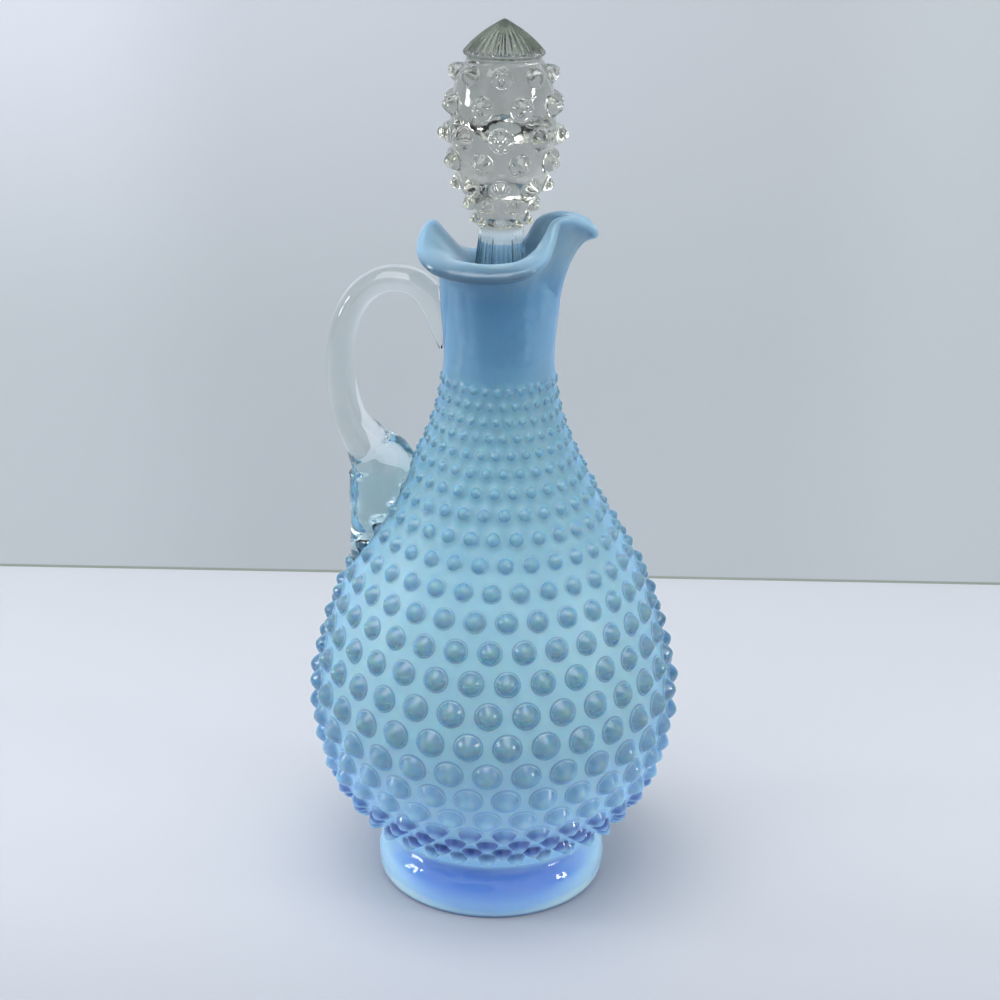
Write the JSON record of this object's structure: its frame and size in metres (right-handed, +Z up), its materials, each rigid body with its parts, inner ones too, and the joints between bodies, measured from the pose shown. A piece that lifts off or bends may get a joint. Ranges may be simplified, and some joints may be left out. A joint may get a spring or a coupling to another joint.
{
  "type": "decanter",
  "caption": "Blown glass decanter with a hobnail-patterned globe body on a collar foot, a narrow neck with a pouring lip, an applied side handle and a ground-in hobnail stopper.",
  "frame": {"origin": "centre of the foot's resting ring, on the surface the decanter stands on", "axes": "+Z up along the body's axis, +X towards the pouring lip, the handle on the -X side"},
  "size_m": [0.1312, 0.131, 0.305],
  "materials": {
    "opalescent_glass": "glossy translucent blue glass, milkier and paler towards the rim and on the hobs",
    "clear_glass": "glossy clear glass with a faint grey-green cast"
  },
  "bodies": {
    "vessel": {"body": "opalescent_glass", "handle": "clear_glass"},
    "stopper": {"stopper": "clear_glass"}
  },
  "joints": [
    {"name": "stopper_lift", "type": "slide", "parent": "vessel", "child": "stopper", "axis": [0, 0, 1], "range_m": [0, 0.08]}
  ]
}
